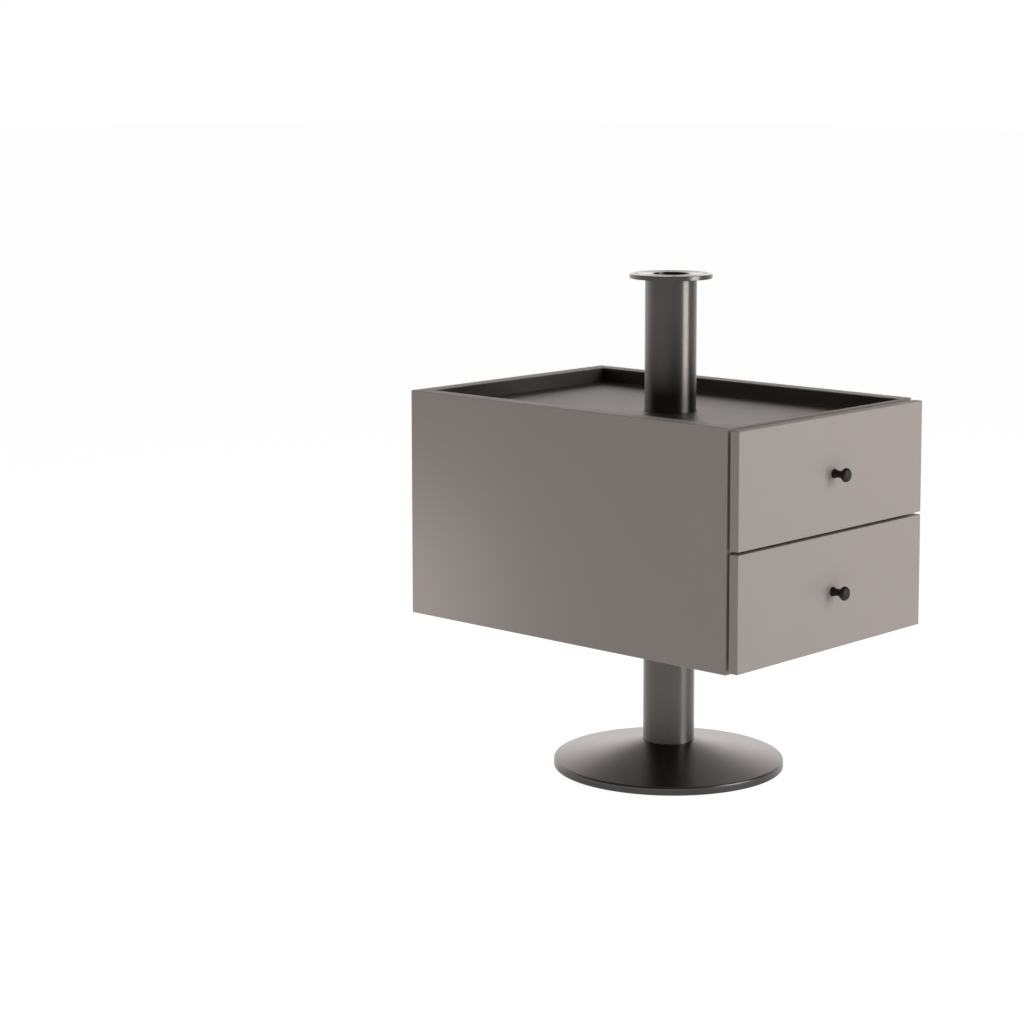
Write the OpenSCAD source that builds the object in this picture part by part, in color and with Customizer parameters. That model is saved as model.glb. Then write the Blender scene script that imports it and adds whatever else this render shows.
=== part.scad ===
// Two-drawer pedestal that swivels on a floor-standing column.
// Origin: on the floor, on the column axis. +Z up. The drawers open towards -Y.

/* [Column and foot] */
// Outer diameter of the column
column_d = 70; // [60:1:80]
// Wall of the column tube
column_wall = 4; // [3:0.5:5]
// Height of the top face of the desk flange above the floor
column_top = 676; // [620:1:720]
// Diameter of the round foot
foot_d = 314; // [280:1:360]
// Height of the rolled rim of the foot
foot_rim_h = 12; // [9:0.5:14]
// Height at which the cone of the foot meets the column
foot_cone_top = 37; // [32:1:45]
// Diameter of the desk flange
flange_d = 112; // [104:1:130]

/* [Box] */
// Width of the box and of the drawer fronts
box_w = 396; // [380:1:420]
// Depth of the box without the drawer fronts
box_d = 552; // [530:1:580]
// Height of the box
box_h = 310; // [305:1:330]
// Height of the box's underside above the floor
box_z = 201; // [180:1:220]
// Distance from the box's front edge back to the column axis
axis_y = 255; // [240:1:276]
// Thickness of the carcass boards
board = 22; // [19:0.5:22]
// Depth of the tray below the rim
tray_depth = 20; // [15:1:24]

/* [Drawers] */
// Thickness of a drawer front
front_t = 14; // [12:0.5:18]
// Gap between the carcass and the back of a drawer front
front_gap = 4; // [3:0.5:5]
// Height of one drawer front
front_h = 150.5; // [149:0.5:152]
// Gap between the two drawer fronts
split_gap = 3.5; // [3:0.5:5]
// Height of the drawer's side boards
side_h = 94; // [80:1:96]
// Travel of a drawer
drawer_travel = 400; // [300:10:420]

/* [Knobs] */
// Diameter of the knob's head
knob_d = 18.5; // [16:0.5:22]
// Length of the knob
knob_len = 23.5; // [20:0.5:26]

/* [Hidden] */

$fn = 64;
eps = 1;                                   // overlap of a cutting tool past the face it cuts

taupe = "#9a918b";
dark_metal = "#5c5856";
tray_black = "#2c2a29";
bronze = "#2e2b29";
zinc = "#b5b8ba";
cast = "#3c3c3e";
inner_board = "#8d8680";
polymer = "#d8d6cf";
rubber = "#1c1c1d";
beech = "#c8a679";

// Column and foot
column_r = column_d / 2;
tube_bore_r = column_r - column_wall;
foot_r = foot_d / 2;
cover_t = 2;                               // sheet of the spun cover
pad_t = 3;
pad_hole_r = 9;
ballast_r = foot_r - 7;
ballast_bottom = pad_t;
ballast_clear = 0.5;                       // gap between the ballast and the cover above it
rim_bottom = 1;                            // lower edge of the rim above the floor
rim_round = 2.5;                           // radius of the rim's upper corner
cone_edge_r = foot_r - rim_round;          // radius at which the rim turns into the cone
plug_bottom = 16;                          // lower end of the tube and its plug, in a pocket of the ballast
plug_top = 46;
bolt_pcd = 38;
bolt_r = 4;
bolt_head_r = 6.5;
bolt_head_h = 6;
bolt_len = 30;
bolt_socket_r = 3.4;
bolt_socket_depth = 3.5;
washer_r = 7.5;
washer_t = 1.6;
counterbore_r = 8;
bolt_seat_z = 9;                           // underside of the ballast's web, where the washers bear
flange_t = 6;
flange_spigot = 14;                        // depth of the flange's spigot in the tube
flange_spigot_t = 6;
flange_pcd = 92;
flange_hole_r = 3.3;

// Box
half_w = box_w / 2;
inner_half_w = half_w - board;
box_front = -axis_y;
box_back = box_front + box_d;
inner_back = box_back - board;
box_top = box_z + box_h;
floor_z = box_z + board;                   // top of the bottom panel
liner_t = 2;
tray_floor_z = box_top - tray_depth;
top_panel_top = tray_floor_z - liner_t;
top_panel_bottom = top_panel_top - board;
liner_rim = 0.6;                           // the liner stops this far below the rim
liner_hole_r = column_r + 0.5;
lip_t = 3;

// Swivel
running_gap = 0.05;                        // radial and axial play of the bushes and washer
bush_flange_t = 3;
bush_flange_r = 44;
bush_r = 39;
bush_len = 30;
hub_neck_r = 44;
hub_flange_r = 66;
hub_flange_t = 5;
hub_spigot_r = 41;
hub_spigot_h = 8;
hub_hole_r = hub_neck_r + 0.5;
hub_pcd = 110;
hub_screw_r = 2.2;
hub_screw_len = 20;
bush_face_z = box_z - bush_flange_t;       // underside of the lower bush's flange
thrust_t = 2;
thrust_r = 45;
collar_top = bush_face_z - running_gap - thrust_t;
collar_h = 16;
collar_r = 46;
grub_r = 3;
grub_len = 10;
grub_socket_r = 1.7;
grub_socket_depth = 3;

// Drawers and runners
fronts_z = box_z + 3.2;                    // lower edge of the lower front
front_back_y = box_front - front_gap;
front_face_y = front_back_y - front_t;
inner_front_t = 12;
side_t = 12;
drawer_len = 514;
drawer_back_y = front_back_y + drawer_len;
runner_w = 12.8;                           // space taken by a runner between carcass and drawer
runner_gap = 0.4;                          // play between the members of a runner
rail_t = 1.2;
runner_len = drawer_travel + 50;
runner_front_y = box_front + 10;
outer_h = 35;
middle_h = outer_h - 2 * (rail_t + runner_gap);
inner_h = middle_h - 2 * (rail_t + runner_gap);
drawer_half_w = inner_half_w - runner_w;
bottom_t = 5;
bottom_lift = 8;                           // underside of the drawer bottom above the side board's edge
groove = 6;
slot_half_w = 54;                          // half width of the column slot in a drawer
guard_t = 2;
slot_front_y = -slot_half_w;
lower_drawer_z = floor_z + 13;
upper_drawer_z = top_panel_bottom - 9 - side_h;
runner_lift = side_h / 2;                  // runner centre above the side board's edge
cheek_h = side_h - bottom_lift - bottom_t;

// Knob and fasteners
knob_base_r = 6.1;
knob_waist_r = 4.7;
knob_screw_r = 2;
knob_screw_depth = 11;
screw_head_r = 4;
screw_head_h = 2.5;
front_screw_r = 2;
front_screw_len = 20;
dowel_r = 4;
dowel_len = 30;
dowel_in_side = 13;
bumper_r = 5;
bumper_rise = 12;                          // bumper centre above the front's lower edge
bumper_play = 0.3;                         // gap left to the closed front

// Block given by its lowest and highest corner
module block(low, high) {
    translate(low) cube(high - low);
}

module rod_x(r, length) {
    rotate([0, 90, 0]) cylinder(r = r, h = length);
}

module rod_y(r, length) {
    rotate([-90, 0, 0]) cylinder(r = r, h = length);
}

module tube(outer_r, inner_r, low, high) {
    translate([0, 0, low]) difference() {
        cylinder(r = outer_r, h = high - low);
        translate([0, 0, -eps]) cylinder(r = inner_r, h = high - low + 2 * eps);
    }
}

module round_pattern(pcd, count, start = 0) {
    for (i = [0 : count - 1]) {
        rotate([0, 0, start + i * 360 / count]) translate([pcd / 2, 0, 0]) children();
    }
}

// ---------- Foot and column ----------

cone_slope = (foot_cone_top - foot_rim_h) / (cone_edge_r - column_r);

function cone_z(r) = foot_cone_top - (r - column_r) * cone_slope;

module base_cover() {
    corner = [for (a = [72 : -18 : 0])
        [cone_edge_r + rim_round * cos(a), foot_rim_h - rim_round * (1 - sin(a))]];
    color(dark_metal) rotate_extrude($fn = 128) polygon(concat(
        [[column_r, foot_cone_top], [cone_edge_r, foot_rim_h]], corner,
        [[foot_r, rim_bottom], [foot_r - cover_t, rim_bottom], [foot_r - cover_t, foot_rim_h - cover_t],
        [column_r, foot_cone_top - cover_t]]
    ));
}

module base_ballast() {
    top_drop = cover_t + ballast_clear;
    color(cast) difference() {
        rotate_extrude($fn = 128) polygon([
            [0, ballast_bottom], [ballast_r, ballast_bottom], [ballast_r, cone_z(ballast_r) - top_drop - 1],
            [column_r + 6, cone_z(column_r + 6) - top_drop], [0, cone_z(column_r + 6) - top_drop]
        ]);
        translate([0, 0, plug_bottom]) cylinder(r = column_r, h = foot_cone_top);
        round_pattern(bolt_pcd, 4, 45) {
            cylinder(r = counterbore_r, h = bolt_seat_z);
            cylinder(r = bolt_r, h = foot_cone_top);
        }
    }
}

module floor_pad() {
    color(rubber) difference() {
        cylinder(r = ballast_r, h = pad_t, $fn = 128);
        round_pattern(bolt_pcd, 4, 45) translate([0, 0, -eps]) cylinder(r = pad_hole_r, h = pad_t + 2 * eps);
    }
}

module column_tube() {
    color(dark_metal) tube(column_r, tube_bore_r, plug_bottom, column_top - flange_t);
}

module column_foot_plug() {
    color(zinc) translate([0, 0, plug_bottom]) difference() {
        cylinder(r = tube_bore_r, h = plug_top - plug_bottom);
        round_pattern(bolt_pcd, 4, 45) translate([0, 0, -eps]) cylinder(r = bolt_r, h = plug_top);
    }
}

bolt_head_top = bolt_seat_z - washer_t;

module base_washers() {
    color(zinc) round_pattern(bolt_pcd, 4, 45) tube(washer_r, bolt_r, bolt_head_top, bolt_seat_z);
}

module base_bolts() {
    color(zinc) round_pattern(bolt_pcd, 4, 45) translate([0, 0, bolt_head_top]) difference() {
        union() {
            translate([0, 0, -bolt_head_h]) cylinder(r = bolt_head_r, h = bolt_head_h);
            cylinder(r = bolt_r, h = bolt_len);
        }
        translate([0, 0, -bolt_head_h - eps])
            cylinder(r = bolt_socket_r, h = bolt_socket_depth + eps, $fn = 6);
    }
}

module top_flange() {
    color(dark_metal) translate([0, 0, column_top - flange_t]) difference() {
        union() {
            cylinder(r = flange_d / 2, h = flange_t, $fn = 96);
            translate([0, 0, -flange_spigot]) cylinder(r = tube_bore_r, h = flange_spigot);
        }
        translate([0, 0, -flange_spigot - eps])
            cylinder(r = tube_bore_r - flange_spigot_t, h = flange_spigot + flange_t + 2 * eps);
        round_pattern(flange_pcd, 4, 45)
            translate([0, 0, -eps]) cylinder(r = flange_hole_r, h = flange_t + 2 * eps);
    }
}

module support_collar() {
    color(dark_metal) difference() {
        tube(collar_r, column_r, collar_top - collar_h, collar_top);
        round_pattern(column_r, 3, 30) translate([0, 0, collar_top - collar_h / 2]) rod_x(grub_r, collar_r);
    }
}

module collar_grub_screws() {
    color(zinc) round_pattern(2 * column_r, 3, 30) translate([0, 0, collar_top - collar_h / 2]) difference() {
        rod_x(grub_r, grub_len);
        translate([grub_len - grub_socket_depth, 0, 0]) rotate([0, 90, 0])
            cylinder(r = grub_socket_r, h = grub_socket_depth + eps, $fn = 6);
    }
}

module thrust_washer() {
    color(zinc) tube(thrust_r, column_r, collar_top, collar_top + thrust_t);
}

// ---------- Carcass ----------

// Height of each row of dowels and the dowel places along a side panel
dowel_rows = [box_z + board / 2, top_panel_bottom + board / 2];
dowel_ys = [box_front + 60, box_front + box_d / 2 + 70, inner_back - 50];
dowel_xs = [-110, 110];

module side_dowels() {
    for (z = dowel_rows, y = dowel_ys, side = [-1, 1]) {
        translate([side * (inner_half_w + dowel_in_side), y, z]) rotate([0, -side * 90, 0])
            cylinder(r = dowel_r, h = dowel_len);
    }
}

module back_dowels() {
    for (z = dowel_rows, x = dowel_xs) {
        translate([x, inner_back + dowel_in_side - dowel_len, z]) rod_y(dowel_r, dowel_len);
    }
}

module panel_dowels() {
    color(beech) {
        side_dowels();
        back_dowels();
    }
}

// The side panel at +X. Its back end is mitred to meet the back panel.
module side_board() {
    difference() {
        translate([0, 0, box_z]) linear_extrude(box_h) polygon([
            [inner_half_w, box_front], [half_w, box_front], [half_w, box_back], [inner_half_w, inner_back]
        ]);
        side_dowels();
        upper_runner(1) runner_screw_row();
        lower_runner(1) runner_screw_row();
    }
}

module left_side_panel() {
    color(taupe) mirror([1, 0, 0]) side_board();
}

module right_side_panel() {
    color(taupe) side_board();
}

module back_panel() {
    color(taupe) difference() {
        translate([0, 0, box_z]) linear_extrude(box_h) polygon([
            [-half_w, box_back], [half_w, box_back], [inner_half_w, inner_back], [-inner_half_w, inner_back]
        ]);
        back_dowels();
    }
}

module flat_panel(front_y, low, high) {
    difference() {
        block([-inner_half_w, front_y, low], [inner_half_w, inner_back, high]);
        translate([0, 0, low - eps]) cylinder(r = hub_hole_r, h = high - low + 2 * eps);
        side_dowels();
        back_dowels();
        hub_screws();
    }
}

module bottom_panel() {
    color(taupe) flat_panel(box_front, box_z, floor_z);
}

module top_panel() {
    color(inner_board) flat_panel(box_front + lip_t, top_panel_bottom, top_panel_top);
}

module tray_front_lip() {
    color(taupe)
        block([-inner_half_w, box_front, top_panel_bottom], [inner_half_w, box_front + lip_t, box_top]);
}

module tray_liner() {
    front_y = box_front + lip_t;
    color(tray_black) difference() {
        block([-inner_half_w, front_y, top_panel_top], [inner_half_w, inner_back, box_top - liner_rim]);
        block([-inner_half_w + liner_t, front_y + liner_t, tray_floor_z],
              [inner_half_w - liner_t, inner_back - liner_t, box_top + eps]);
        translate([0, 0, top_panel_top - eps]) cylinder(r = liner_hole_r, h = tray_depth);
    }
}

// ---------- Swivel parts on the box ----------

// Hub seen from its panel: flange face down at z = 0, neck below it, spigot above it
module hub(neck) {
    difference() {
        union() {
            translate([0, 0, -neck]) cylinder(r = hub_neck_r, h = neck);
            cylinder(r = hub_flange_r, h = hub_flange_t);
            cylinder(r = hub_spigot_r, h = hub_flange_t + hub_spigot_h);
        }
        translate([0, 0, -neck - eps]) cylinder(r = bush_r, h = neck + hub_flange_t + hub_spigot_h + 2 * eps);
        round_pattern(hub_pcd, 4, 45)
            translate([0, 0, -eps]) cylinder(r = hub_screw_r, h = hub_flange_t + 2 * eps);
    }
}

module lower_hub() {
    color(zinc) translate([0, 0, floor_z]) hub(board);
}

module upper_hub() {
    color(zinc) translate([0, 0, top_panel_bottom]) mirror([0, 0, 1]) hub(board - bush_flange_t);
}

// Flanged bush: flange face at z = 0, barrel above it
module bush() {
    bore_r = column_r + running_gap;
    difference() {
        union() {
            cylinder(r = bush_flange_r, h = bush_flange_t);
            cylinder(r = bush_r, h = bush_flange_t + bush_len);
        }
        translate([0, 0, -eps]) cylinder(r = bore_r, h = bush_flange_t + bush_len + 2 * eps);
    }
}

module lower_bush() {
    color(polymer) translate([0, 0, bush_face_z]) bush();
}

module upper_bush() {
    color(polymer) translate([0, 0, top_panel_top]) mirror([0, 0, 1]) bush();
}

module swivel_sleeve() {
    color(zinc) tube(hub_neck_r, hub_spigot_r, floor_z + hub_flange_t, top_panel_bottom - hub_flange_t);
}

// Pan-head screw pointing down from z = 0, its head above
module pan_screw(length, r, head_r, head_h) {
    translate([0, 0, -length]) cylinder(r = r, h = length);
    cylinder(r1 = head_r, r2 = head_r * 0.75, h = head_h);
}

module hub_screw_ring() {
    round_pattern(hub_pcd, 4, 45) pan_screw(hub_screw_len, hub_screw_r, screw_head_r, screw_head_h);
}

module hub_screws() {
    color(zinc) {
        translate([0, 0, floor_z + hub_flange_t]) hub_screw_ring();
        translate([0, 0, top_panel_bottom - hub_flange_t]) mirror([0, 0, 1]) hub_screw_ring();
    }
}

// ---------- Runners ----------

// A runner is drawn for the +X side with its middle at z = 0. Its members nest as open channels.
middle_x = inner_half_w - rail_t - runner_gap;
inner_x = middle_x - rail_t - runner_gap;
lip_depth = 9;
runner_screw_ys = [runner_front_y + 40, runner_front_y + 200, runner_front_y + runner_len - 40];
runner_screw_r = 1.8;
runner_screw_head_r = 3;
runner_screw_len = 15;

// Channel between x0 and x1 with its web at x0
module channel(x0, x1, height) {
    web = x1 > x0 ? rail_t : -rail_t;
    rotate([-90, 0, 0]) translate([0, 0, runner_front_y]) linear_extrude(runner_len) polygon([
        [x0, -height / 2], [x1, -height / 2], [x1, rail_t - height / 2], [x0 + web, rail_t - height / 2],
        [x0 + web, height / 2 - rail_t], [x1, height / 2 - rail_t], [x1, height / 2], [x0, height / 2]
    ]);
}

module runner_screw_row() {
    for (y = runner_screw_ys) translate([inner_half_w - rail_t, y, 0]) {
        rod_x(runner_screw_r, runner_screw_len);
        rod_x(runner_screw_head_r, rail_t);
    }
}

module outer_rail() {
    difference() {
        channel(inner_half_w, inner_half_w - lip_depth, outer_h);
        for (y = runner_screw_ys) translate([inner_half_w - rail_t - eps, y, 0])
            rod_x(runner_screw_head_r, rail_t + 2 * eps);
    }
}

module middle_rail() {
    channel(middle_x, middle_x - lip_depth, middle_h);
}

module inner_rail() {
    channel(drawer_half_w, inner_x, inner_h);
}

module upper_runner(side) {
    translate([0, 0, upper_drawer_z + runner_lift]) mirror([side < 0 ? 1 : 0, 0, 0]) children();
}

module lower_runner(side) {
    translate([0, 0, lower_drawer_z + runner_lift]) mirror([side < 0 ? 1 : 0, 0, 0]) children();
}

module upper_left_outer_rail() { color(zinc) upper_runner(-1) outer_rail(); }
module upper_right_outer_rail() { color(zinc) upper_runner(1) outer_rail(); }
module lower_left_outer_rail() { color(zinc) lower_runner(-1) outer_rail(); }
module lower_right_outer_rail() { color(zinc) lower_runner(1) outer_rail(); }
module upper_left_middle_rail() { color(zinc) upper_runner(-1) middle_rail(); }
module upper_right_middle_rail() { color(zinc) upper_runner(1) middle_rail(); }
module lower_left_middle_rail() { color(zinc) lower_runner(-1) middle_rail(); }
module lower_right_middle_rail() { color(zinc) lower_runner(1) middle_rail(); }

module runner_screws() {
    color(zinc) for (side = [-1, 1]) {
        upper_runner(side) runner_screw_row();
        lower_runner(side) runner_screw_row();
    }
}

// Soft buttons on the side panels' front edges
module front_bumpers() {
    bumper_t = front_gap - bumper_play;
    color(rubber) for (x = [-1, 1] * (half_w - board / 2), front_z = [upper_front_z, lower_front_z]) {
        translate([x, box_front - bumper_t, front_z + bumper_rise]) rod_y(bumper_r, bumper_t);
    }
}

// ---------- Drawers ----------

lower_front_z = fronts_z;
upper_front_z = fronts_z + front_h + split_gap;

// Holes through the front and inner front: one for the knob, four for the front screws
module knob_hole(front_z) {
    translate([0, front_face_y - eps, front_z + front_h / 2]) rod_y(knob_screw_r, 60);
}

front_screw_xs = [-120, 120];
front_screw_dz = [-25, 25];
front_screw_tip_y = front_back_y + inner_front_t - front_screw_len;

module front_screw_places(drawer_z) {
    for (x = front_screw_xs, dz = front_screw_dz) translate([x, 0, drawer_z + side_h / 2 + dz]) children();
}

module front_screw_holes(drawer_z) {
    front_screw_places(drawer_z)
        translate([0, front_screw_tip_y, 0]) rod_y(front_screw_r, front_screw_len + eps);
}

module drawer_front(front_z, drawer_z) {
    difference() {
        block([-half_w, front_face_y, front_z], [half_w, front_back_y, front_z + front_h]);
        knob_hole(front_z);
        front_screw_holes(drawer_z);
    }
}

module inner_front(front_z, drawer_z) {
    y1 = front_back_y + inner_front_t;
    difference() {
        block([side_t - drawer_half_w, front_back_y, drawer_z],
              [drawer_half_w - side_t, y1, drawer_z + side_h]);
        knob_hole(front_z);
        front_screw_holes(drawer_z);
        bottom_solid(drawer_z);
    }
}

// Outline of the bottom's solid, before the column slot is cut
module bottom_solid(drawer_z) {
    low = drawer_z + bottom_lift;
    edge = drawer_half_w - side_t + groove;
    block([-edge, front_back_y + inner_front_t - groove, low],
          [edge, drawer_back_y - side_t, low + bottom_t]);
}

module drawer_bottom(drawer_z) {
    low = drawer_z + bottom_lift;
    difference() {
        bottom_solid(drawer_z);
        block([-slot_half_w, slot_front_y, low - eps], [slot_half_w, drawer_back_y, low + bottom_t + eps]);
    }
}

module drawer_side(side, drawer_z) {
    mirror([side < 0 ? 1 : 0, 0, 0]) difference() {
        block([drawer_half_w - side_t, front_back_y, drawer_z],
              [drawer_half_w, drawer_back_y, drawer_z + side_h]);
        bottom_solid(drawer_z);
    }
}

module back_boards(drawer_z) {
    low = drawer_z + bottom_lift;
    for (side = [-1, 1]) mirror([side < 0 ? 1 : 0, 0, 0]) {
        block([slot_half_w, drawer_back_y - side_t, low],
              [drawer_half_w - side_t, drawer_back_y, drawer_z + side_h]);
    }
}

// Bent sheet that walls the slot off from the inside of the drawer
module column_guard(drawer_z) {
    low = drawer_z + bottom_lift + bottom_t;
    back_y = drawer_back_y - side_t;
    outer = slot_half_w + guard_t;
    difference() {
        block([-outer, slot_front_y - guard_t, low], [outer, back_y, low + cheek_h]);
        block([-slot_half_w, slot_front_y, low - eps], [slot_half_w, back_y + eps, low + cheek_h + eps]);
    }
}

// Knob outline: [distance from the front, radius] from its base to the edge of the head
head_start = knob_len * 0.45;
head_edge = knob_len * 0.8;
knob_r = knob_d / 2;

function waist_r(t) = knob_waist_r + (knob_base_r - knob_waist_r) * pow(1 - t, 2);
function flare_r(t) = knob_waist_r + (knob_r - knob_waist_r) * (1 - cos(180 * t)) / 2;
function dome_y(t) = head_edge + (knob_len - head_edge) * sin(90 * t);
function dome_r(t) = knob_r * pow(cos(90 * t), 0.6);

knob_outline = concat(
    [[0, 0], [knob_base_r, 0], [knob_base_r, 1.6]],
    [for (i = [0 : 4]) [waist_r(i / 4) - 0.5 * (1 - i / 4), 1.6 + (head_start - 1.6) * i / 4]],
    [for (i = [1 : 6]) [flare_r(i / 6), head_start + (head_edge - head_start) * i / 6]],
    [for (i = [1 : 7]) [dome_r(i / 8), dome_y(i / 8)]],
    [[0, knob_len]]
);

module turned_knob(front_z) {
    translate([0, front_face_y, front_z + front_h / 2]) rotate([90, 0, 0]) difference() {
        rotate_extrude($fn = 48) polygon(knob_outline);
        translate([0, 0, -eps]) cylinder(r = knob_screw_r, h = knob_screw_depth + eps);
    }
}

// Screw from the inside of the drawer; its head bears on the inner front
module knob_screw(front_z) {
    seat_y = front_back_y + inner_front_t;
    length = seat_y - front_face_y + knob_screw_depth - 1;
    translate([0, seat_y, front_z + front_h / 2]) rotate([-90, 0, 0])
        pan_screw(length, knob_screw_r, screw_head_r, screw_head_h);
}

module front_screws(drawer_z) {
    seat_y = front_back_y + inner_front_t;
    front_screw_places(drawer_z) translate([0, seat_y, 0]) rotate([-90, 0, 0])
        pan_screw(front_screw_len, front_screw_r, screw_head_r, screw_head_h);
}

module upper_front() { color(taupe) drawer_front(upper_front_z, upper_drawer_z); }
module upper_inner_front() { color(inner_board) inner_front(upper_front_z, upper_drawer_z); }
module upper_left_side() { color(inner_board) drawer_side(-1, upper_drawer_z); }
module upper_right_side() { color(inner_board) drawer_side(1, upper_drawer_z); }
module upper_back_boards() { color(inner_board) back_boards(upper_drawer_z); }
module upper_column_guard() { color(tray_black) column_guard(upper_drawer_z); }
module upper_bottom() { color(inner_board) drawer_bottom(upper_drawer_z); }
module upper_left_inner_rail() { color(zinc) upper_runner(-1) inner_rail(); }
module upper_right_inner_rail() { color(zinc) upper_runner(1) inner_rail(); }
module upper_knob() { color(bronze) turned_knob(upper_front_z); }
module upper_knob_screw() { color(zinc) knob_screw(upper_front_z); }
module upper_front_screws() { color(zinc) front_screws(upper_drawer_z); }

module lower_front() { color(taupe) drawer_front(lower_front_z, lower_drawer_z); }
module lower_inner_front() { color(inner_board) inner_front(lower_front_z, lower_drawer_z); }
module lower_left_side() { color(inner_board) drawer_side(-1, lower_drawer_z); }
module lower_right_side() { color(inner_board) drawer_side(1, lower_drawer_z); }
module lower_back_boards() { color(inner_board) back_boards(lower_drawer_z); }
module lower_column_guard() { color(tray_black) column_guard(lower_drawer_z); }
module lower_bottom() { color(inner_board) drawer_bottom(lower_drawer_z); }
module lower_left_inner_rail() { color(zinc) lower_runner(-1) inner_rail(); }
module lower_right_inner_rail() { color(zinc) lower_runner(1) inner_rail(); }
module lower_knob() { color(bronze) turned_knob(lower_front_z); }
module lower_knob_screw() { color(zinc) knob_screw(lower_front_z); }
module lower_front_screws() { color(zinc) front_screws(lower_drawer_z); }

// ---------- Draw ----------

base_cover();
base_ballast();
floor_pad();
column_tube();
column_foot_plug();
base_bolts();
base_washers();
top_flange();
support_collar();
collar_grub_screws();
thrust_washer();
left_side_panel();
right_side_panel();
back_panel();
bottom_panel();
top_panel();
tray_front_lip();
tray_liner();
lower_hub();
upper_hub();
lower_bush();
upper_bush();
swivel_sleeve();
hub_screws();
panel_dowels();
upper_left_outer_rail();
upper_right_outer_rail();
lower_left_outer_rail();
lower_right_outer_rail();
runner_screws();
front_bumpers();
upper_left_middle_rail();
upper_right_middle_rail();
lower_left_middle_rail();
lower_right_middle_rail();
upper_front();
upper_inner_front();
upper_left_side();
upper_right_side();
upper_back_boards();
upper_column_guard();
upper_bottom();
upper_left_inner_rail();
upper_right_inner_rail();
upper_knob();
upper_knob_screw();
upper_front_screws();
lower_front();
lower_inner_front();
lower_left_side();
lower_right_side();
lower_back_boards();
lower_column_guard();
lower_bottom();
lower_left_inner_rail();
lower_right_inner_rail();
lower_knob();
lower_knob_screw();
lower_front_screws();
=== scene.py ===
"""Looks of a two-drawer pedestal that swivels on a floor-standing column.

Lengths are in metres, in the frame of the CAD model: origin on the floor on the column axis,
+Z up, drawers opening towards -Y.
"""

import math

import bmesh
import bpy
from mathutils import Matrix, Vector


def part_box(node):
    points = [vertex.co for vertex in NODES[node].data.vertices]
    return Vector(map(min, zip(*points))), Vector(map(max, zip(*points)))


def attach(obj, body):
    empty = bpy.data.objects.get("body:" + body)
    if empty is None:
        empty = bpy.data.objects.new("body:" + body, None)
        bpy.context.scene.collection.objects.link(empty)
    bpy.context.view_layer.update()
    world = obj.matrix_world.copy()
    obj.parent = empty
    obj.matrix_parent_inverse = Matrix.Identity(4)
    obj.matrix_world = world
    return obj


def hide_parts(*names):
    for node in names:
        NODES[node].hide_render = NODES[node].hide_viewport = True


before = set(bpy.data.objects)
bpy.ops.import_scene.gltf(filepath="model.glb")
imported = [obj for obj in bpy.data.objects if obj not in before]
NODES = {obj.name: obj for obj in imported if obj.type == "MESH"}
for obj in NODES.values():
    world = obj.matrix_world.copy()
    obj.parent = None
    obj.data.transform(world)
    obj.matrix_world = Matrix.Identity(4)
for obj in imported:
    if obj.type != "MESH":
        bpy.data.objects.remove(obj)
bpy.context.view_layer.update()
MM = 0.001


def add_node(tree, kind, inputs=(), **properties):
    """A new node, its inputs set to values or linked to other nodes' sockets."""
    node = tree.nodes.new(kind)
    for key, value in properties.items():
        setattr(node, key, value)
    for socket, value in dict(inputs).items():
        if isinstance(value, bpy.types.NodeSocket):
            tree.links.new(value, node.inputs[socket])
        else:
            node.inputs[socket].default_value = value
    return node


def add_object(name, data):
    new = bpy.data.objects.new(name, data)
    bpy.context.scene.collection.objects.link(new)
    return new


# ---------------------------------------------------------------- node materials

MIX_LOW, MIX_HIGH, MIX_RESULT = 6, 7, 2      # a Mix node's colour sockets
QUARTER_TURN = 0.25


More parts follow.
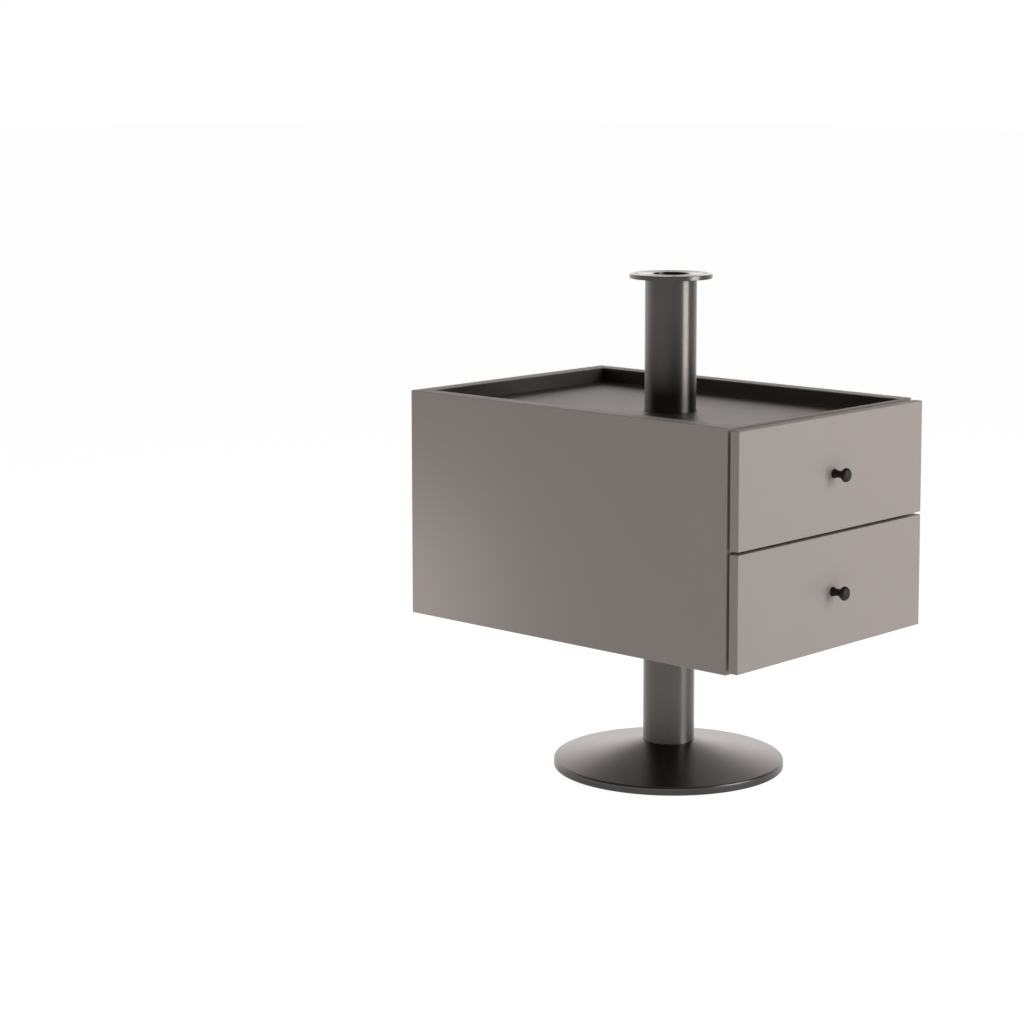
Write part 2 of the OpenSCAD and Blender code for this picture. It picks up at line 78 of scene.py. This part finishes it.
class Shader:
    """One node material: short calls for its nodes, which all work in the object's own metres."""

    def __init__(self, name, base, **sockets):
        self.material = bpy.data.materials.new(name)
        self.material.use_nodes = True
        self.tree = self.material.node_tree
        self.tree.nodes.clear()
        self.surface = self.add("ShaderNodeBsdfPrincipled", {"Base Color": (*base, 1)})
        self.add("ShaderNodeOutputMaterial", {"Surface": self.surface.outputs["BSDF"]})
        for socket, value in sockets.items():
            self.surface.inputs[socket.replace("_", " ")].default_value = value
        self.base = base
        self.place = self.add("ShaderNodeTexCoord").outputs["Object"]
        self.relief = None

    def add(self, kind, inputs=(), **properties):
        return add_node(self.tree, kind, inputs, **properties)

    def math(self, operation, *values):
        return self.add("ShaderNodeMath", enumerate(values), operation=operation).outputs[0]

    def blend(self, first, share, second):
        """Share of the first pattern, and the rest of the second."""
        return self.math("ADD", self.math("MULTIPLY", first, share), self.math("MULTIPLY", second, 1 - share))

    def stretched(self, scale):
        """The object's coordinates, scaled along each axis: a small number draws a pattern out."""
        return self.add("ShaderNodeMapping", {"Vector": self.place, "Scale": scale}).outputs["Vector"]

    def turned(self, around):
        """Coordinates of a surface turned about Z: its radius, and its angle times around."""
        parts = self.add("ShaderNodeSeparateXYZ", {0: self.place}).outputs
        x, y = parts["X"], parts["Y"]
        radius = self.math("SQRT", self.math("ADD", self.math("MULTIPLY", x, x), self.math("MULTIPLY", y, y)))
        angle = self.math("ARCTAN2", x, y)
        return self.add("ShaderNodeCombineXYZ", {
            0: radius,
            1: self.math("MULTIPLY", self.math("SINE", angle), around),
            2: self.math("MULTIPLY", self.math("COSINE", angle), around),
        }).outputs[0]

    def noise(self, where, scale, detail=2.0, roughness=0.5):
        """Noise with about that many spots in a metre."""
        return self.add("ShaderNodeTexNoise", {
            "Vector": where, "Scale": scale, "Detail": detail, "Roughness": roughness,
        }).outputs["Fac"]

    def ramp(self, value, low, high, start=0.0, end=1.0):
        """From low to high, as the value goes from start to end."""
        return self.add("ShaderNodeMapRange", {
            "Value": value, "From Min": start, "From Max": end, "To Min": low, "To Max": high,
        }).outputs["Result"]

    def tint(self, value, low, high):
        """Colour from low times the base to high times the base."""
        mix = self.add("ShaderNodeMix", {"Factor": value}, data_type="RGBA")
        mix.inputs[MIX_LOW].default_value = (*[min(1, c * low) for c in self.base], 1)
        mix.inputs[MIX_HIGH].default_value = (*[min(1, c * high) for c in self.base], 1)
        self.tree.links.new(mix.outputs[MIX_RESULT], self.surface.inputs["Base Color"])

    def rough(self, value, low, high):
        """Roughness from low to high."""
        self.tree.links.new(self.ramp(value, low, high), self.surface.inputs["Roughness"])

    def bump(self, value, height):
        """Relief of that height in metres, on top of any relief already there."""
        inputs = {"Height": value, "Distance": height, "Strength": 1.0}
        if self.relief:
            inputs["Normal"] = self.relief
        self.relief = self.add("ShaderNodeBump", inputs).outputs["Normal"]
        self.tree.links.new(self.relief, self.surface.inputs["Normal"])

    def brushed_round(self):
        """Stretches the highlight as fine lines round the Z axis do."""
        tangent = self.add("ShaderNodeTangent", direction_type="RADIAL", axis="Z")
        self.tree.links.new(tangent.outputs[0], self.surface.inputs["Tangent"])
        self.surface.inputs["Anisotropic Rotation"].default_value = QUARTER_TURN


def lacquer():
    """Sprayed satin lacquer: a faint orange peel, fine level streaks and a slow drift of tone and gloss."""
    s = Shader("taupe_satin_lacquer", (0.283, 0.2465, 0.2275), IOR=1.50)
    cloud = s.noise(s.place, 9, 3)
    grain = s.noise(s.place, 2600, 2)
    streak = s.noise(s.stretched((0.02, 0.02, 1)), 900, 3, 0.6)
    s.tint(s.blend(cloud, 0.45, s.blend(grain, 0.5, streak)), 0.93, 1.07)
    s.rough(cloud, 0.50, 0.57)
    s.bump(s.noise(s.place, 420, 2), 0.04 * MM)
    s.bump(grain, 0.01 * MM)
    return s.material


def brushed_column():
    """Dark metal brushed round the column."""
    s = Shader("dark_metal_brushed", (0.120, 0.112, 0.107), Metallic=1.0, Anisotropic=0.75)
    lines = s.noise(s.stretched((0.015, 0.015, 1)), 2600, 3, 0.6)
    wide = s.noise(s.stretched((0.1, 0.1, 1)), 60, 2)
    s.tint(lines, 0.90, 1.10)
    s.rough(s.blend(lines, 0.5, wide), 0.26, 0.36)
    s.bump(lines, 0.006 * MM)
    s.brushed_round()
    return s.material


def spun_metal():
    """Dark metal turned round the column's axis, with painted shade darkening the rim near the floor."""
    s = Shader("dark_metal_spun", (0.114, 0.109, 0.107), Metallic=1.0, Anisotropic=0.25)
    rings = s.noise(s.turned(0.004), 2600, 3, 0.6)
    drift = s.noise(s.turned(0.02), 60, 2)
    height = s.add("ShaderNodeSeparateXYZ", {0: s.place}).outputs["Z"]
    # painted shade: the base colour is darkened on the rim below 11.5 mm, standing in for the shade near the
    # floor
    painted_rim_shade = s.ramp(height, 0.35, 1.0, 7.5 * MM, 11.5 * MM)
    s.tint(s.math("MULTIPLY", s.ramp(rings, 0.9, 1.0), painted_rim_shade), 0.35, 1.12)
    s.rough(s.blend(rings, 0.5, drift), 0.26, 0.36)
    s.bump(rings, 0.01 * MM)
    s.brushed_round()
    return s.material


def tray_coat():
    """Satin black powder coat: fine even pebbling."""
    s = Shader("black_powder_coat", (0.0120, 0.0108, 0.0100), IOR=1.95)
    s.surface.inputs["Specular Tint"].default_value = (1.0, 0.92, 0.89, 1.0)
    pebble = s.noise(s.place, 1500, 2)
    s.tint(s.noise(s.place, 14, 2), 0.9, 1.15)
    s.rough(s.noise(s.place, 30, 2), 0.42, 0.48)
    s.bump(pebble, 0.008 * MM)
    return s.material


def turned_bronze():
    """Dark bronze turned round the knob's axis, with its tool lines."""
    s = Shader("dark_bronze_turned", (0.034, 0.030, 0.028), Metallic=1.0, Anisotropic=0.3)
    rings = s.noise(s.stretched((0.02, 1, 0.02)), 5200, 2, 0.6)
    s.tint(s.noise(s.place, 260, 3), 0.80, 1.20)
    s.rough(rings, 0.46, 0.56)
    s.bump(rings, 0.01 * MM)
    return s.material


def zinc():
    """Bright zinc plating: small cloudy patches of cooler and warmer grey."""
    s = Shader("zinc_plating", (0.52, 0.53, 0.54), Metallic=1.0)
    spangle = s.add("ShaderNodeTexVoronoi", {"Vector": s.place, "Scale": 420.0}).outputs["Distance"]
    cloud = s.noise(s.place, 90, 3)
    s.tint(cloud, 0.84, 1.12)
    s.rough(cloud, 0.26, 0.42)
    s.bump(spangle, 0.01 * MM)
    return s.material


def runner_zinc():
    """Zinc-plated strip, with fine lines along the way that it was rolled."""
    s = Shader("rolled_zinc", (0.55, 0.56, 0.57), Metallic=1.0, Anisotropic=0.3)
    lines = s.noise(s.stretched((1, 0.01, 1)), 2400, 3, 0.6)
    s.tint(s.blend(lines, 0.6, s.noise(s.place, 60, 2)), 0.84, 1.12)
    s.rough(lines, 0.24, 0.38)
    s.bump(lines, 0.008 * MM)
    return s.material


def blackened_steel():
    """Black oxide over machined steel."""
    s = Shader("blackened_steel", (0.042, 0.042, 0.044), Metallic=0.7)
    cloud = s.noise(s.place, 45, 4, 0.6)
    s.tint(cloud, 0.75, 1.30)
    s.rough(cloud, 0.36, 0.52)
    s.bump(s.noise(s.place, 1400, 2), 0.015 * MM)
    return s.material


def cast_iron():
    """Painted casting: the sand's grain under the paint."""
    s = Shader("painted_casting", (0.050, 0.051, 0.053), Metallic=0.2)
    sand = s.noise(s.place, 520, 5, 0.6)
    s.tint(s.noise(s.place, 40, 3), 0.8, 1.2)
    s.rough(sand, 0.48, 0.66)
    s.bump(sand, 0.35 * MM)
    return s.material


def rubber(name, base, scale):
    """Moulded rubber: a matt fine-grained skin with a little bloom."""
    s = Shader(name, base, IOR=1.5)
    s.surface.inputs["Sheen Weight"].default_value = 0.06
    bloom = s.noise(s.place, 70, 3)
    s.tint(bloom, 0.8, 1.35)
    s.rough(bloom, 0.62, 0.80)
    s.bump(s.noise(s.place, scale, 3), 0.05 * MM)
    return s.material


def melamine():
    """Melamine-faced board: a fine pressed texture and even warm grey."""
    s = Shader("melamine_board", (0.340, 0.308, 0.284), IOR=1.5)
    pores = s.noise(s.stretched((1, 0.35, 1)), 1300, 3, 0.6)
    s.tint(s.blend(pores, 0.5, s.noise(s.place, 7, 2)), 0.94, 1.06)
    s.rough(pores, 0.46, 0.60)
    s.bump(pores, 0.03 * MM)
    return s.material


def acetal():
    """Machined acetal: off-white, slightly waxy, with turning lines."""
    s = Shader("natural_acetal", (0.70, 0.69, 0.65), IOR=1.48)
    s.surface.inputs["Subsurface Weight"].default_value = 0.15
    s.surface.inputs["Subsurface Radius"].default_value = (2.0 * MM, 2.0 * MM, 1.6 * MM)
    rings = s.noise(s.turned(0.01), 1800, 2)
    s.tint(rings, 0.94, 1.04)
    s.rough(rings, 0.34, 0.46)
    s.bump(rings, 0.01 * MM)
    return s.material


def beech():
    """Fluted beech dowel: long grain with short darker flecks."""
    s = Shader("beech_wood", (0.53, 0.34, 0.19), IOR=1.45)
    grain = s.noise(s.stretched((0.12, 1, 1)), 620, 4, 0.6)
    s.tint(grain, 0.70, 1.20)
    s.rough(grain, 0.50, 0.68)
    s.bump(grain, 0.06 * MM)
    return s.material


FINISHES = {
    "taupe_lacquer": lacquer(),
    "brushed_dark": brushed_column(),
    "tray_black": tray_coat(),
    "knob_bronze": turned_bronze(),
    "zinc_steel": zinc(),
    "runner_steel": runner_zinc(),
    "dark_steel": blackened_steel(),
    "cast_iron": cast_iron(),
    "rubber_pad": rubber("black_floor_rubber", (0.016, 0.016, 0.017), 900),
    "bumper_rubber": rubber("clear_grey_bumper", (0.070, 0.068, 0.066), 1600),
    "inner_board": melamine(),
    "polymer": acetal(),
    "beech": beech(),
}
for node in NODES.values():
    for place in node.material_slots:
        place.material = FINISHES[place.material.name]
NODES["base_cover"].material_slots[0].material = spun_metal()


# ---------------------------------------------------------------- rounded corners on the CAD parts

WELD = 0.001 * MM                    # vertices closer than this are one
SHARP = math.radians(32)             # an edge that turns more than this is a corner
CORNER_SEGMENTS = 3


def corner_marker():
    """A modifier group: joins the CAD mesh's split faces and marks the corners that get a round.

    Corners shorter than the group's second input keep their sharp edge.
    """
    group = bpy.data.node_groups.new("mark_corners", "GeometryNodeTree")
    face = group.interface
    face.new_socket("Geometry", in_out="INPUT", socket_type="NodeSocketGeometry")
    face.new_socket("Shortest", in_out="INPUT", socket_type="NodeSocketFloat")
    face.new_socket("Geometry", in_out="OUTPUT", socket_type="NodeSocketGeometry")

    def add(kind, inputs=(), **properties):
        return add_node(group, kind, inputs, **properties)

    given = add("NodeGroupInput")
    joined = add("GeometryNodeMergeByDistance", {"Geometry": given.outputs[0], "Distance": WELD})
    angle = add("GeometryNodeInputMeshEdgeAngle")
    ends = add("GeometryNodeInputMeshEdgeVertices")
    length = add("ShaderNodeVectorMath", {0: ends.outputs["Position 1"], 1: ends.outputs["Position 2"]},
                 operation="DISTANCE")
    sharp = add("FunctionNodeCompare", {"A": angle.outputs["Unsigned Angle"], "B": SHARP},
                data_type="FLOAT", operation="GREATER_THAN")
    long = add("FunctionNodeCompare", {"A": length.outputs["Value"], "B": given.outputs[1]},
               data_type="FLOAT", operation="GREATER_THAN")
    corner = add("FunctionNodeBooleanMath", {0: sharp.outputs[0], 1: long.outputs[0]}, operation="AND")
    small = add("FunctionNodeBooleanMath", {0: sharp.outputs[0], 1: long.outputs[0]}, operation="NIMPLY")
    smooth_faces = add("GeometryNodeSetShadeSmooth", {"Geometry": joined.outputs[0], "Shade Smooth": True},
                       domain="FACE")
    smooth_edges = add("GeometryNodeSetShadeSmooth",
                       {"Geometry": smooth_faces.outputs[0], "Selection": small.outputs[0],
                        "Shade Smooth": False}, domain="EDGE")
    marked = add("GeometryNodeStoreNamedAttribute",
                 {"Geometry": smooth_edges.outputs[0], "Name": "bevel_weight_edge",
                  "Value": corner.outputs[0]}, data_type="FLOAT", domain="EDGE")
    add("NodeGroupOutput", {0: marked.outputs[0]})
    return group


MARKER = corner_marker()


def soften(node_name, width, shortest=0.0):
    """Rounds a CAD node's corners by width, with modifiers only. Edges up to the shortest stay sharp."""
    node = NODES[node_name]
    mark = node.modifiers.new("mark", "NODES")
    mark.node_group = MARKER
    mark["Socket_1"] = shortest      # the group's second input
    bevel = node.modifiers.new("round", "BEVEL")
    bevel.limit_method = "WEIGHT"
    bevel.width = width
    bevel.segments = CORNER_SEGMENTS
    bevel.use_clamp_overlap = False
    bevel.loop_slide = False
    flat = node.modifiers.new("flat_faces", "WEIGHTED_NORMAL")
    flat.keep_sharp = True


for name in ("left_side_panel", "right_side_panel", "back_panel", "bottom_panel"):
    soften(name, 0.6 * MM, 15 * MM)
soften("tray_front_lip", 0.4 * MM, 2 * MM)
soften("tray_liner", 0.8 * MM, 1 * MM)
for name in ("base_cover", "top_flange", "support_collar", "thrust_washer"):
    soften(name, 0.5 * MM)
for level in ("upper", "lower"):
    soften(f"{level}_front", 1.1 * MM, 9 * MM)
    soften(f"{level}_inner_front", 0.5 * MM, 9 * MM)
    soften(f"{level}_back_boards", 0.5 * MM, 4 * MM)
    soften(f"{level}_column_guard", 0.3 * MM, 1 * MM)
    soften(f"{level}_bottom", 0.4 * MM, 4 * MM)
    for side in ("left", "right"):
        soften(f"{level}_{side}_side", 0.8 * MM, 9 * MM)
        for member in ("outer", "middle", "inner"):
            soften(f"{level}_{side}_{member}_rail", 0.25 * MM, 1 * MM)


# ---------------------------------------------------------------- screws that show in an open drawer

AROUND = 24                          # sides of a turned surface
HEAD_R = 4 * MM
SHANK_R = 2 * MM
POINT_R, POINT_LENGTH = 0.6, 0.4     # the shank's blunt point, in shank radii
SCREW_SHARP = math.radians(35)       # an edge of a screw that turns more than this stays sharp
SOCKET = 0.40                        # half width of the hexagon socket, in head radii
SOCKET_FLOOR = 0.35                  # height of its floor, in head heights
DOME = (                             # heights and radii of the head, in its own height and radius
    (0.0, 0.95), (0.10, 1.0), (0.40, 0.98), (0.66, 0.90), (0.86, 0.76), (0.97, 0.60), (1.0, 0.50),
)
RAIL_SHEET = 1.2 * MM                # thickness of the rails
RAIL_SCREWS = (35 * MM, 150 * MM, 260 * MM, 415 * MM)      # places along an inner rail
RAIL_SCREW_LENGTH = 6 * MM
RAIL_HEAD = 1.8 * MM


def hexagon(half_width, angle):
    """Radius of a hexagon's outline at that angle."""
    return half_width / math.cos((angle + math.pi / 6) % (math.pi / 3) - math.pi / 6)


def button_screw(mesh, seat, out, length, shank_r, head_r, head_h):
    """Adds a button-head screw: seat is the point under its head, and the head faces out."""
    across = out.orthogonal().normalized()
    up = out.cross(across)
    profile = [(-length, POINT_R * shank_r), (POINT_LENGTH * shank_r - length, shank_r), (0, shank_r)]
    profile += [(part * head_h, reach * head_r) for part, reach in DOME]
    profile += [(head_h, None), (SOCKET_FLOOR * head_h, None)]      # None is the hexagon's own radius
    rings = []
    for rise, radius in profile:
        ring = []
        for i in range(AROUND):
            angle = i * math.tau / AROUND
            reach = radius or hexagon(SOCKET * head_r, angle)
            place = seat + out * rise + (across * math.cos(angle) + up * math.sin(angle)) * reach
            ring.append(mesh.verts.new(place))
        rings.append(ring)
    for low, high in zip(rings, rings[1:]):
        for i in range(AROUND):
            j = (i + 1) % AROUND
            mesh.faces.new((low[i], low[j], high[j], high[i]))
    mesh.faces.new(reversed(rings[0]))
    mesh.faces.new(rings[-1])


def screw_piece(name, body, screws, replaced=()):
    """One piece of button-head screws, given as the arguments of button_screw after the mesh."""
    built = bmesh.new()
    for screw in screws:
        button_screw(built, *screw)
    for edge in built.edges:
        edge.smooth = edge.calc_face_angle(0) < SCREW_SHARP
    for face in built.faces:
        face.smooth = True
    mesh = bpy.data.meshes.new(name)
    built.to_mesh(mesh)
    built.free()
    mesh.materials.append(FINISHES["zinc_steel"])
    piece = add_object(name, mesh)
    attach(piece, body)
    if replaced:
        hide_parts(*replaced)


def drawer_screws(level):
    """The screws of the front and the knob, seen inside the drawer, and those of the runners."""
    body = f"{level}_drawer"
    back = Vector((0, 1, 0))
    seat_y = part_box(f"{level}_inner_front")[1][1]
    screws = []
    low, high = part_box(f"{level}_front_screws")
    for x in (low[0] + HEAD_R, high[0] - HEAD_R):
        for z in (low[2] + HEAD_R, high[2] - HEAD_R):
            screws.append((Vector((x, seat_y, z)), back, seat_y - low[1], SHANK_R, HEAD_R, high[1] - seat_y))
    screw_piece(f"{level}_front_button_screws", body, screws, [f"{level}_front_screws"])
    low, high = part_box(f"{level}_knob_screw")
    middle = Vector(((low[0] + high[0]) / 2, seat_y, (low[2] + high[2]) / 2))
    screw = (middle, back, seat_y - low[1], SHANK_R, HEAD_R, high[1] - seat_y)
    screw_piece(f"{level}_knob_button_screw", body, [screw], [f"{level}_knob_screw"])
    for side, sign in (("left", -1), ("right", 1)):
        low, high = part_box(f"{level}_{side}_inner_rail")
        web_x = sign * (min(abs(low[0]), abs(high[0])) + RAIL_SHEET)
        z = (low[2] + high[2]) / 2
        out = Vector((sign, 0, 0))
        screws = [(Vector((web_x, low[1] + along, z)), out, RAIL_SCREW_LENGTH, SHANK_R, HEAD_R, RAIL_HEAD)
                  for along in RAIL_SCREWS]
        screw_piece(f"{level}_{side}_rail_screws", body, screws)


for level in ("upper", "lower"):
    drawer_screws(level)


# ---------------------------------------------------------------- camera

CAMERA_AT = (-2.6421, -2.1828, 0.9549)
HEADING = math.radians(47.669)       # from +Y towards +X
PITCH_DOWN = math.radians(6.564)
SENSOR = 36                          # mm
FOCAL = 89.82                        # mm
SHIFT = (-0.035, -0.15)

lens = bpy.data.cameras.new("camera")
lens.sensor_width = SENSOR
lens.lens = FOCAL
lens.shift_x, lens.shift_y = SHIFT
camera = add_object("camera", lens)
camera.location = CAMERA_AT
camera.rotation_euler = (math.pi / 2 - PITCH_DOWN, 0, -HEADING)
bpy.context.scene.camera = camera


# ---------------------------------------------------------------- stage and light

WHITE = (1.0, 1.0, 1.0, 1.0)
WARM_WHITE = (1.0, 0.945, 0.920, 1.0)
FLOOR_SIDE = 60.0
FLOOR_GLOW = 0.93                    # light the floor gives off, so that it stays white round the object
ROOM_DIM = 0.075                     # light from the room all round
ROOM_BRIGHT = 1.68                   # and what a glow far behind the object adds
GLOW_HEADING = HEADING - math.radians(12)
GLOW_FROM = (math.sin(GLOW_HEADING), math.cos(GLOW_HEADING), 0)
GLOW_SIDES = (0.1, 0.8)              # cosines of the angles from its middle where it starts and is full
GLOW_TOP = (0.28, 0.62)              # sines of the elevations where it starts to fade and is gone


def pale_floor():
    mesh = bpy.data.meshes.new("floor")
    half = FLOOR_SIDE / 2
    corners = [(-half, -half, 0), (half, -half, 0), (half, half, 0), (-half, half, 0)]
    mesh.from_pydata(corners, [], [(0, 1, 2, 3)])
    floor = add_object("floor", mesh)
    s = Shader("pale_floor", (0.30, 0.30, 0.30), Roughness=0.9)
    s.surface.inputs["Specular IOR Level"].default_value = 0.0
    s.surface.inputs["Emission Color"].default_value = WHITE
    s.surface.inputs["Emission Strength"].default_value = FLOOR_GLOW
    mesh.materials.append(s.material)


def studio_air():
    """White where the camera sees it. The object is lit by a dim room, with a low glow far behind it."""
    world = bpy.data.worlds.new("studio")
    bpy.context.scene.world = world
    world.use_nodes = True
    tree = world.node_tree
    tree.nodes.clear()

    def fade(value, start, end, low, high):
        return add_node(tree, "ShaderNodeMapRange", {
            "Value": value, "From Min": start, "From Max": end, "To Min": low, "To Max": high,
        }, interpolation_type="SMOOTHSTEP").outputs["Result"]

    way = add_node(tree, "ShaderNodeTexCoord").outputs["Generated"]
    ahead = add_node(tree, "ShaderNodeVectorMath", {0: way, 1: GLOW_FROM}, operation="DOT_PRODUCT")
    height = add_node(tree, "ShaderNodeSeparateXYZ", {0: way}).outputs["Z"]
    band = add_node(tree, "ShaderNodeMath", {
        0: fade(ahead.outputs["Value"], *GLOW_SIDES, 0.0, ROOM_BRIGHT),
        1: fade(height, *GLOW_TOP, 1.0, 0.0),
    }, operation="MULTIPLY")
    level = add_node(tree, "ShaderNodeMath", {0: band.outputs[0], 1: ROOM_DIM}, operation="ADD")
    room = add_node(tree, "ShaderNodeBackground", {"Color": WARM_WHITE, "Strength": level.outputs[0]})
    backdrop = add_node(tree, "ShaderNodeBackground", {"Color": WHITE})
    seen = add_node(tree, "ShaderNodeLightPath").outputs["Is Camera Ray"]
    mix = add_node(tree, "ShaderNodeMixShader", {0: seen, 1: room.outputs[0], 2: backdrop.outputs[0]})
    add_node(tree, "ShaderNodeOutputWorld", {"Surface": mix.outputs[0]})


def softbox(name, at, towards, width, height, radiance):
    """A soft light whose face has that radiance."""
    data = bpy.data.lights.new(name, "AREA")
    data.shape = "RECTANGLE"
    data.size = width
    data.size_y = height
    data.energy = radiance * math.pi * width * height
    light = add_object(name, data)
    light.location = at
    aim = Vector(towards) - Vector(at)
    light.rotation_euler = aim.to_track_quat("-Z", "Y").to_euler()
    return light


pale_floor()
studio_air()
softbox("key_front_right", at=(0.80, -2.25, 0.95), towards=(0.0, -0.2, 0.6),
        width=1.1, height=1.9, radiance=5.75)
softbox("top", at=(0.2, 0.3, 2.6), towards=(0, 0, 0.3), width=2.2, height=2.2, radiance=0.25)
low_rear_left = softbox("low_rear_left", at=(-1.5, 1.0, 0.1), towards=(-0.198, 0.36, 0.18),
                        width=0.3, height=0.3, radiance=0.95)
low_rear_left.data.spread = math.radians(20)
low_rear_left.visible_glossy = False

bpy.context.scene.view_settings.view_transform = "Standard"
